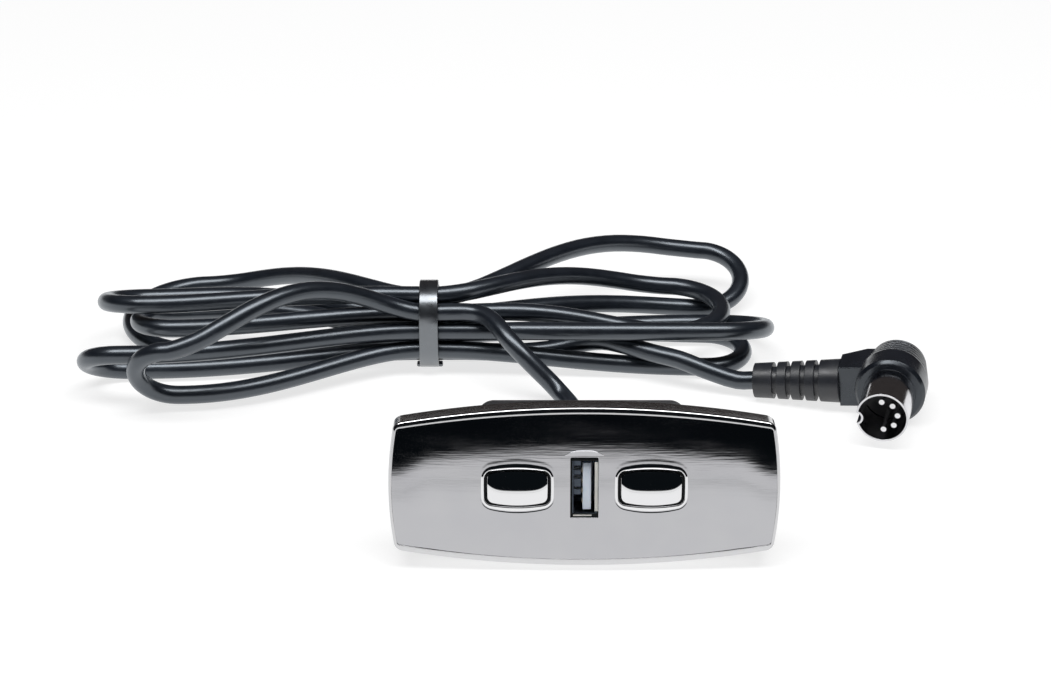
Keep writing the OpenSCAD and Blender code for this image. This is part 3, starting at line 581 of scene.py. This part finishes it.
def bezel_rings(side, steps):
    foot, edge = at_button(foot_outline(), side), at_button(bezel_outline(), side)
    opening = at_button(button_outline(BUTTON_GAP), side)
    rings = []
    for out, across, height, lower in steps:
        ring = []
        for f, e, o in zip(foot, edge, opening):
            x = f[0] + (e[0] - f[0]) * out + (o[0] - e[0]) * across
            z = f[1] + (e[1] - f[1]) * out + (o[1] - e[1]) * across
            low = smoothstep(-o[1] / BEZEL_LOW)
            # as steep at the narrow sides as along the broad top
            share = min(1.0, math.hypot(o[0] - e[0], o[1] - e[1]) / BEZEL_H)
            raised = height + (lower - height) * low
            raised *= BEZEL_LEAST + (1 - BEZEL_LEAST) * share
            ring.append((x, face_y(x, z) - raised, z))
        rings.append(ring)
    return rings


def slot_outline(grow):
    return outline(SLOT_W, SLOT_H, SLOT_CORNER, STRAIGHT, STRAIGHT, -grow, SLOT_COUNTS)


def slot_rings():
    rings = []
    for t in quarter(ROUND_STEPS):
        sink = SLOT_EDGE * (1 - math.cos(t))
        ring = slot_outline(SLOT_EDGE * (1 - math.sin(t)))
        rings.append(ring_at(ring, lambda x, z: face_y(x, z) + sink))
    rings.append(ring_at(slot_outline(0), FACE_BACK))
    return rings


def face_sheet(skin, holes, step, behind):
    """The crowned face between its rim and the holes, or its back."""
    rim = plate_outline(RIM_W - UNDER_RIM)
    points, edges = [], []
    for loop in [rim] + holes:
        first = len(points)
        points += loop
        edges += [(first + k, first + (k + 1) % len(loop)) for k in range(len(loop))]
    x, z = numpy.meshgrid(
        numpy.arange(-PLATE_W / 2, PLATE_W / 2 + 0.1, step),
        numpy.arange(-PLATE_H / 2, PLATE_H / 2 + 0.1, step),
    )
    x, z = x.ravel(), z.ravel()
    keep = in_loop(plate_outline(RIM_W + GRID_GAP), x, z)
    for hole in holes:
        mx, mz = (sum(values) / len(hole) for values in zip(*hole))
        grown = [(px + HOLE_GAP * (px - mx), pz + HOLE_GAP * (pz - mz)) for px, pz in hole]
        keep &= ~in_loop(grown, x, z)
    points += list(zip(x[keep].tolist(), z[keep].tolist()))
    flat, _, triangles, *_ = geometry.delaunay_2d_cdt(
        [Vector(p) for p in points], edges, [], INSIDE_EDGES, SAME_POINT
    )
    where = numpy.array([tuple(p) for p in flat])
    middles = where[numpy.array([tuple(t) for t in triangles])].mean(axis=1)
    keep = in_loop(rim, middles[:, 0], middles[:, 1])
    for hole in holes:
        keep &= ~in_loop(hole, middles[:, 0], middles[:, 1])
    thick = PLATE_WALL if behind else 0.0
    rows = skin.add([(px, face_y(px, pz) + thick, pz) for px, pz in where.tolist()])
    for triangle, kept in zip(triangles, keep):
        if kept:
            corners = [rows[k] for k in triangle]
            skin.faces.append(corners[::-1] if behind else corners)
    if not behind:
        for row, (px, pz) in zip(rows, where.tolist()):
            skin.normals[row] = front_normal(face_y, px, pz)


def hood_patch(skin):
    """The arched ledge above the socket, whose underside slopes back to the opening."""
    rows = []
    for j in range(HOOD_ROWS + 1):
        v = j / HOOD_ROWS
        rise = v / HOOD_CREST
        if v > HOOD_CREST:
            rise = math.sqrt(max(0.0, 1 - ((v - HOOD_CREST) / (1 - HOOD_CREST)) ** 2))
        row = []
        for i in range(-HOOD_COLUMNS, HOOD_COLUMNS + 1):
            u = i / HOOD_COLUMNS
            side = max(0.0, (abs(u) - HOOD_LEVEL) / (1 - HOOD_LEVEL))
            x, z = HOOD_HALF_W * u, HOOD_LOW + HOOD_TALL * (1 - side ** 1.7) * v
            row.append((x, face_y(x, z) + HOOD_SINK - HOOD_RAISE * rise * (1 - side ** 2), z))
        rows.append(row)
    skin.loft(rows[::-1], closed=False)


def make_rim():
    """The polished rim around the face."""
    skin = Skin(on_plate)
    skin.loft(rim_rings())
    return skin.build("faceplate_rim")


def make_faceplate():
    """The face with the bezels' feet, the hood and the posts, and the flat back of the rim."""
    skin = Skin(on_plate)
    wall, back = plate_outline(RIM_W), plate_outline(BACK_BEVEL)
    skin.fold([
        ring_at(wall, WALL_FRONT), ring_at(wall, PLATE_D), ring_at(back, PLATE_D),
        ring_at(plate_outline(0), PLATE_D - BACK_BEVEL),
    ])
    feet, openings = [], []
    for side in (-1, 1):
        skin.loft(bezel_rings(side, BEZEL_FOOT))
        feet.append(at_button(foot_outline(), side))
        openings.append(at_button(button_outline(BUTTON_GAP), side))
    skin.loft(slot_rings())
    face_sheet(skin, feet + [slot_outline(SLOT_EDGE)], FRONT_STEP, False)
    face_sheet(skin, openings + [slot_outline(0)], BACK_STEP, True)
    hood_patch(skin)
    for side in (-1, 1):
        post, insert = (circle(side * POST_PITCH / 2, r) for r in (POST_R, INSERT_R))
        skin.fold([
            ring_at(insert, INSERT_FRONT), ring_at(insert, PLATE_D),
            ring_at(post, PLATE_D), ring_at(post, POST_FRONT),
        ])
    return skin.build("faceplate_plate")


def make_bezels():
    """The polished rings around the openings, which go back through the face."""
    skin = Skin(on_plate)
    for side in (-1, 1):
        opening = at_button(button_outline(BUTTON_GAP), side)
        skin.loft(bezel_rings(side, BEZEL_RING) + [ring_at(opening, FACE_BACK)])
    return skin.build("button_bezels")


CAP_FRONT = -FACE_CROWN - BEZEL_RAISE - BUTTON_DOME
CAP_WIDE_R = arc_radius(BUTTON_W, BUTTON_DOME)
# the dome's radii above and below its crest, and how far the crest is below the middle and then
# rises to the ends
CAP_UPPER_R, CAP_LOWER_R, CAP_LOW, CAP_LIFT = 10.5, 16.0, 0.9, 1.9
# the front's size, how far up it sits on the body, and the depth of the step between them
CAP_W, CAP_H, CAP_UP, CAP_STEP = 13.7, 7.7, 0.1, 0.6
CAP_RINGS = 16
FLANGE_GROW, FLANGE_Y, FLANGE_T = 1.2, FACE_BACK + 1, 0.9
# the black sheets of painted shade in the buttons' gaps: how far they stay clear of a cap, and
# their front and back depths
GAP_SHADE_CLEAR, GAP_SHADE_FRONT, GAP_SHADE_BACK = 0.06, -0.25, 0.3


def cap_outline(grow):
    """The cap's front, which is smaller than its body and leaves a gap in the opening that a black
    sheet fills as painted shade.
    """
    return [(x * CAP_W / BUTTON_W, z * CAP_H / BUTTON_H + CAP_UP) for x, z in button_outline(grow)]


def cap_y(x, z):
    """Depth of the cap's dome beside and above the button's middle."""
    up = z + CAP_LOW - CAP_LIFT * (abs(x) / (BUTTON_W / 2)) ** 5
    tall_r = CAP_UPPER_R if up > 0 else CAP_LOWER_R
    return CAP_FRONT + x * x / (2 * CAP_WIDE_R) + up * up / (2 * tall_r)


def make_cap(name, side):
    """A button's domed cap, its body and its flange behind the face."""
    skin = Skin(lambda x, y, z: on_plate(x + side * BUTTON_PITCH / 2, y, z))
    flange, body, front = button_outline(FLANGE_GROW), button_outline(0), cap_outline(0)
    edge = ring_at(front, cap_y)
    skin.fold([
        ring_at(flange, FLANGE_Y + FLANGE_T), ring_at(flange, FLANGE_Y), ring_at(body, FLANGE_Y),
        ring_at(body, CAP_STEP), ring_at(front, CAP_STEP), edge,
    ])
    dome = [edge]
    for k in range(CAP_RINGS - 1, 0, -1):
        dome.append(ring_at([(x * k / CAP_RINGS, z * k / CAP_RINGS) for x, z in front], cap_y))
    rows = skin.loft(dome)
    for row, ring in zip(rows, dome):
        for k, (x, _, z) in zip(row, ring):
            skin.normals[k] = front_normal(cap_y, x, z)
    middle = skin.add([(0, cap_y(0, 0), 0)])[0]
    skin.normals[middle] = front_normal(cap_y, 0, 0)
    inner = rows[-1]
    for k in range(len(inner)):
        skin.faces.append((inner[k], inner[(k + 1) % len(inner)], middle))
    return skin.build(name)


def make_gap_shade():
    """Black sheets in the gaps around the caps: painted shade that makes the gaps dark."""
    skin = Skin(on_plate)
    for side in (-1, 1):
        outer = at_button(button_outline(BUTTON_GAP), side)
        inner = at_button(cap_outline(GAP_SHADE_CLEAR), side)
        back = ring_at(outer, GAP_SHADE_BACK)
        front = [ring_at(outer, GAP_SHADE_FRONT), ring_at(inner, GAP_SHADE_FRONT)]
        skin.loft([back, *front, ring_at(inner, GAP_SHADE_BACK), back])
    return skin.build("button_gaps_painted_shade")


def box_skin(name, boxes, edge):
    """Boxes with chamfered edges, each given by two corners as (beside, depth, up) on the plate."""
    skin = Skin(on_plate)
    for (x0, y0, z0), (x1, y1, z1) in boxes:
        def ring(inset, y):
            left, right, low, high = x0 + inset, x1 - inset, z0 + inset, z1 - inset
            return [(right, y, low), (right, y, high), (left, y, high), (left, y, low)]

        rings = [ring(edge, y1), ring(0, y1 - edge), ring(0, y0 + edge), ring(edge, y0)]
        skin.close(skin.loft(rings))
    return skin.build(name, smooth=False)


# heights of the spring windows' edges beside the tongue, from the socket's middle
SPRINGS = [(-2.1, -0.95), (-0.24, 1.5), (2.6, 3.7), (4.76, 6.0)]
# small pieces in the socket's mouth: name, material slot and boxes
SOCKET_PIECES = [
    ("socket_collar", "inner_plastic", [
        ((-3.2, 0.02, 6.2), (3.2, 0.19, 7.1)), ((-3.2, 0.02, -7.1), (3.2, 0.19, -6.2)),
        ((-3.2, 0.02, -6.2), (-2.75, 0.19, 6.2)),
    ]),
    ("socket_strip", "plunger_plastic", [
        ((2.35, 0, -5.7), (3.15, 0.19, 5.9)), ((-2.6, -0.02, -6.85), (1.7, 0.15, -6.5)),
    ]),
    ("socket_springs", "socket_steel", [
        ((-2.45, 1.5, low), (-0.75, 1.8, high)) for low, high in SPRINGS
    ]),
]
SOCKET_EDGE = 0.06

# pieces and the materials that they get below
looks = [(cable, "cable_jacket"), (strap, "tie_plastic"), (buckle, "tie_plastic")]
for name, slot, boxes in SOCKET_PIECES:
    piece = box_skin(name, boxes, SOCKET_EDGE)
    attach(piece, "control")
    looks.append((piece, slot))

rim, bezels, gap_shade = make_rim(), make_bezels(), make_gap_shade()
for piece, slot in ((rim, "face_chrome"), (bezels, "button_chrome"), (gap_shade, "inner_plastic")):
    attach(piece, "control")
looks += [(rim, "rim_chrome_painted_light"), (bezels, "button_chrome"), (gap_shade, "inner_plastic")]

faceplate = make_faceplate()
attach(faceplate, "control")
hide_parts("faceplate")
looks.append((faceplate, "face_chrome"))
for word, side in (("left", -1), ("right", 1)):
    cap = make_cap(word + "_cap", side)
    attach(cap, word + "_button")
    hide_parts(word + "_button")
    looks.append((cap, "button_chrome"))

# ---- materials ----
COOL = (0.86, 0.93, 1.0)
WHITE = (1, 1, 1)


class Nodes:
    """The nodes of a material or of the world."""

    def __init__(self, owner):
        owner.use_nodes = True
        self.tree = owner.node_tree

    def add(self, kind, **settings):
        node = self.tree.nodes.new(kind)
        for key, value in settings.items():
            setattr(node, key, value)
        return node

    def feed(self, socket, value):
        """Links a socket to another one, or gives it a value."""
        if isinstance(value, bpy.types.NodeSocket):
            self.tree.links.new(value, socket)
        else:
            socket.default_value = value

    def compute(self, operation, *values):
        node = self.add("ShaderNodeMath", operation=operation)
        for socket, value in zip(node.inputs, values):
            self.feed(socket, value)
        return node.outputs[0]

    def span(self, value, start, end, low=0.0, high=1.0, **settings):
        """A value that runs from start to end, turned into one between low and high."""
        node = self.add("ShaderNodeMapRange", **settings)
        given = {"Value": value, "From Min": start, "From Max": end, "To Min": low, "To Max": high}
        for name, number in given.items():
            self.feed(node.inputs[name], number)
        return node.outputs["Result"]

    def mix(self, share, *colours):
        """Turns from one colour to another as the share goes from 0 to 1."""
        node = self.add("ShaderNodeMix", data_type="RGBA")
        self.feed(node.inputs["Factor"], share)
        for name, colour in zip("AB", colours):
            linked = isinstance(colour, bpy.types.NodeSocket)
            self.feed(node.inputs[name], colour if linked else (*colour, 1))
        return node.outputs["Result"]

    def seen_by(self, *rays):
        """1 for rays of two kinds and 0 for all others."""
        path = self.add("ShaderNodeLightPath")
        return self.compute("MAXIMUM", *(path.outputs["Is %s Ray" % ray] for ray in rays))


class Finish(Nodes):
    """A material with one principled shader, whose detail comes from noise in the model's frame."""

    def __init__(self, name, colour, roughness, metallic=0.0, specular=0.5):
        self.material = bpy.data.materials.new(name)
        super().__init__(self.material)
        self.shader = self.tree.nodes["Principled BSDF"]
        self.colour, self.roughness = colour, roughness
        self.shader.inputs["Base Color"].default_value = (*colour, 1)
        self.shader.inputs["Roughness"].default_value = roughness
        self.shader.inputs["Metallic"].default_value = metallic
        self.shader.inputs["Specular IOR Level"].default_value = specular
        self.place = self.add("ShaderNodeTexCoord").outputs["Object"]
        self.normal = None

    def noise(self, size, detail=3.0, stretch=(1, 1, 1), turn=(0, 0, 0)):
        """Noise with features of a size in millimetres, drawn out along an axis."""
        mapping = self.add("ShaderNodeMapping")
        self.feed(mapping.inputs["Vector"], self.place)
        mapping.inputs["Rotation"].default_value = turn
        mapping.inputs["Scale"].default_value = [1 / (s * size * MM) for s in stretch]
        noise = self.add("ShaderNodeTexNoise")
        self.feed(noise.inputs["Vector"], mapping.outputs["Vector"])
        noise.inputs["Scale"].default_value = 1
        noise.inputs["Detail"].default_value = detail
        return noise.outputs["Fac"]

    def spread(self, noise, low, high):
        """The middle of a noise's range, turned into values between low and high."""
        return self.span(noise, 0.3, 0.7, low, high)

    def mottle(self, noise, other):
        """The colour turns to another one with the noise."""
        colour = self.mix(self.spread(noise, 0, 1), self.colour, other)
        self.feed(self.shader.inputs["Base Color"], colour)

    def wear(self, noise, spread):
        """The roughness varies by a spread on both sides."""
        rough = self.spread(noise, max(0, self.roughness - spread), self.roughness + spread)
        self.feed(self.shader.inputs["Roughness"], rough)

    def soften(self, radius):
        """Rounds the edges' shading by a radius in millimetres."""
        bevel = self.add("ShaderNodeBevel", samples=6)
        bevel.inputs["Radius"].default_value = radius * MM
        self.normal = bevel.outputs["Normal"]
        self.feed(self.shader.inputs["Normal"], self.normal)

    def bump(self, noise, height):
        """Raises the surface by the noise, height millimetres at most."""
        node = self.add("ShaderNodeBump")
        node.inputs["Strength"].default_value = 1
        node.inputs["Distance"].default_value = height * MM
        self.feed(node.inputs["Height"], noise)
        if self.normal is not None:
            self.feed(node.inputs["Normal"], self.normal)
        self.normal = node.outputs["Normal"]
        self.feed(self.shader.inputs["Normal"], self.normal)

    def gloss(self, tint, ior, coat, coat_roughness, coat_tint=WHITE):
        """A tint of the highlights and a coat over the surface."""
        self.shader.inputs["Specular Tint"].default_value = (*tint, 1)
        self.shader.inputs["IOR"].default_value = ior
        self.shader.inputs["Coat Weight"].default_value = coat
        self.shader.inputs["Coat Roughness"].default_value = coat_roughness
        self.shader.inputs["Coat Tint"].default_value = (*coat_tint, 1)


def face_chrome():
    """Chrome that is brushed along the plate."""
    f = Finish("face_chrome", (0.485, 0.485, 0.50), 0.07, metallic=1)
    f.mottle(f.noise(9), (0.465, 0.465, 0.485))
    f.wear(f.noise(3, 4, stretch=(4, 1, 1)), 0.03)
    f.bump(f.noise(0.4, 4, stretch=(16, 1, 1), turn=(LEAN, 0, 0)), 0.005)
    f.bump(f.noise(1.6, 3, stretch=(8, 1, 1), turn=(LEAN, 0, 0)), 0.008)
    return f.material


def polished_chrome(name, colour, roughness):
    f = Finish(name, colour, roughness, metallic=1)
    f.wear(f.noise(2, 4), 0.02)
    f.bump(f.noise(2.5, 2), 0.002)
    return f.material


def moulded(
    name, colour, roughness, grain=0.25, height=0.012, edge=0.25, specular=0.5, tint=WHITE,
):
    """Moulded plastic with a fine grain, some sheen variation and softened edges."""
    f = Finish(name, colour, roughness, specular=specular)
    f.shader.inputs["Specular Tint"].default_value = (*tint, 1)
    f.soften(edge)
    f.mottle(f.noise(6, 4), [c * 1.35 + 0.003 for c in colour])
    f.wear(f.noise(4, 5), 0.08)
    f.bump(f.noise(grain, 2), height)
    return f.material


def glossy_jacket():
    f = Finish("cable_jacket", (0.009, 0.011, 0.016), 0.33, specular=0.9)
    f.gloss(tint=COOL, ior=1.56, coat=0.6, coat_roughness=0.24, coat_tint=COOL)
    f.mottle(f.noise(5, 4), (0.016, 0.019, 0.026))
    f.wear(f.noise(3, 5), 0.04)
    f.bump(f.noise(5, 1), 0.006)
    return f.material


def glossy_tie():
    f = Finish("tie_plastic", (0.014, 0.015, 0.018), 0.3, specular=1.0)
    f.gloss(tint=COOL, ior=1.9, coat=0.9, coat_roughness=0.18)
    f.wear(f.noise(3, 5), 0.05)
    f.bump(f.noise(1.2, 2, stretch=(6, 1, 1)), 0.004)
    return f.material


def metal(name, colour, roughness):
    """Plated or turned metal with fine marks."""
    f = Finish(name, colour, roughness, metallic=1)
    f.soften(0.1)
    f.mottle(f.noise(4, 4), [c * 0.85 for c in colour])
    f.wear(f.noise(1.5, 5), 0.06)
    f.bump(f.noise(0.6, 3), 0.003)
    return f.material


MATERIALS = {
    "face_chrome": face_chrome(),
    # the rim's chrome is the face's chrome made rougher to soften its thin highlight line, and made
    # lighter as painted light that brightens the rim strip
    "rim_chrome_painted_light": polished_chrome("rim_chrome_painted_light", (0.60, 0.60, 0.61), 0.13),
    "button_chrome": polished_chrome("button_chrome", (0.76, 0.76, 0.77), 0.05),
    "plunger_plastic": moulded("plunger_plastic", (0.80, 0.79, 0.74), 0.45),
    "inner_plastic": moulded("inner_plastic", (0.008, 0.009, 0.010), 0.5, specular=0.12),
    "housing_plastic": moulded(
        "housing_plastic", (0.035, 0.035, 0.038), 0.42, grain=0.35, height=0.02,
    ),
    "screw_steel": metal("screw_steel", (0.55, 0.55, 0.57), 0.32),
    "insert_brass": metal("insert_brass", (0.72, 0.56, 0.28), 0.3),
    "board_green": moulded("board_green", (0.05, 0.20, 0.10), 0.25),
    "socket_steel": metal("socket_steel", (0.10, 0.12, 0.15), 0.4),
    "socket_plastic": moulded("socket_plastic", (0.80, 0.87, 0.97), 0.4),
    "contact_metal": metal("contact_metal", (0.42, 0.38, 0.30), 0.25),
    "inner_dark": moulded("inner_dark", (0.07, 0.07, 0.10), 0.3),
    "wire_jacket": moulded("wire_jacket", (0.45, 0.08, 0.07), 0.35),
    "cable_rubber": moulded("cable_rubber", (0.03, 0.03, 0.032), 0.5, grain=0.4),
    "cable_jacket": glossy_jacket(),
    "tie_plastic": glossy_tie(),
    "plug_plastic": moulded(
        "plug_plastic", (0.009, 0.011, 0.016), 0.24, height=0.003, edge=0.5, specular=0.9,
        tint=COOL,
    ),
    "relief_rubber": moulded(
        "relief_rubber", (0.016, 0.018, 0.024), 0.4, grain=0.3, height=0.006, edge=0.4,
        specular=0.8,
    ),
    "plug_metal": metal("plug_metal", (0.72, 0.72, 0.74), 0.14),
    "insulator_plastic": moulded("insulator_plastic", (0.03, 0.03, 0.033), 0.4),
    "pin_metal": metal("pin_metal", (0.78, 0.78, 0.79), 0.15),
}


def dress(piece, material):
    piece.data.materials.clear()
    piece.data.materials.append(MATERIALS[material])


for part in frame["record"]["subparts"]:
    dress(nodes[part["node"]], part["material_slot"])
for piece, material in looks:
    dress(piece, material)

# ---- stage: a white table in a dark room, one soft light overhead ----
FLOOR_SIZE = 6.0
FLOOR_COLOUR = (0.38, 0.38, 0.38)
FLOOR_GLOW = 0.75
# the heights of a ray between which the room turns from white to dark, and their fall to the rear
SKY_EDGE = (-0.01, 0.035)
SKY_SLANT = 0.06
# the dark room's colour, and the one that it has towards the back
ROOM = (0.004, 0.0055, 0.007)
ROOM_BACK = (0.04, 0.035, 0.034)
BACK_EDGE = (0.2, 0.7)
LIGHT_SIZE = (1.5, 0.48)
LIGHT_AT = (0.0, -0.2, 1.15)
LIGHT_POWER = 14.0


def make_floor():
    """A pale floor that keeps the shadow, and glows for the camera and for reflections."""
    mesh = bpy.data.meshes.new("floor")
    h = FLOOR_SIZE / 2
    mesh.from_pydata([(-h, -h, 0), (h, -h, 0), (h, h, 0), (-h, h, 0)], [], [(0, 1, 2, 3)])
    floor = new_object("floor", mesh)
    material = bpy.data.materials.new("floor_white")
    n = Nodes(material)
    n.tree.nodes.clear()
    diffuse, glow = n.add("ShaderNodeBsdfDiffuse"), n.add("ShaderNodeEmission")
    n.feed(diffuse.inputs["Color"], (*FLOOR_COLOUR, 1))
    shown = n.seen_by("Camera", "Glossy")
    n.feed(glow.inputs["Strength"], n.compute("MULTIPLY", shown, FLOOR_GLOW))
    both = n.add("ShaderNodeAddShader")
    n.feed(both.inputs[0], diffuse.outputs[0])
    n.feed(both.inputs[1], glow.outputs[0])
    n.feed(n.add("ShaderNodeOutputMaterial").inputs["Surface"], both.outputs[0])
    mesh.materials.append(material)


def make_world():
    """White to the camera. To all else a room: white low down, more so in front, and dark above."""
    world = bpy.data.worlds.new("studio")
    bpy.context.scene.world = world
    n = Nodes(world)
    n.tree.nodes.clear()
    split = n.add("ShaderNodeSeparateXYZ")
    n.feed(split.inputs[0], n.add("ShaderNodeTexCoord").outputs["Generated"])
    back, up = split.outputs["Y"], split.outputs["Z"]
    slanted = n.compute("MULTIPLY_ADD", back, SKY_SLANT, up)
    height = n.span(slanted, *SKY_EDGE, interpolation_type="SMOOTHSTEP")
    room = n.mix(height, WHITE, n.mix(n.span(back, *BACK_EDGE), ROOM, ROOM_BACK))
    background = n.add("ShaderNodeBackground")
    n.feed(background.inputs["Color"], n.mix(n.seen_by("Camera", "Transmission"), room, WHITE))
    n.feed(n.add("ShaderNodeOutputWorld").inputs["Surface"], background.outputs[0])


def make_light():
    data = bpy.data.lights.new("softbox", "AREA")
    data.shape = "RECTANGLE"
    data.size, data.size_y = LIGHT_SIZE
    data.energy = LIGHT_POWER
    light = new_object("softbox", data)
    light.location = LIGHT_AT
    light.rotation_euler = Vector(LIGHT_AT).to_track_quat("Z", "Y").to_euler()


make_floor()
make_world()
make_light()
bpy.context.scene.view_settings.view_transform = "Standard"
bpy.context.view_layer.update()
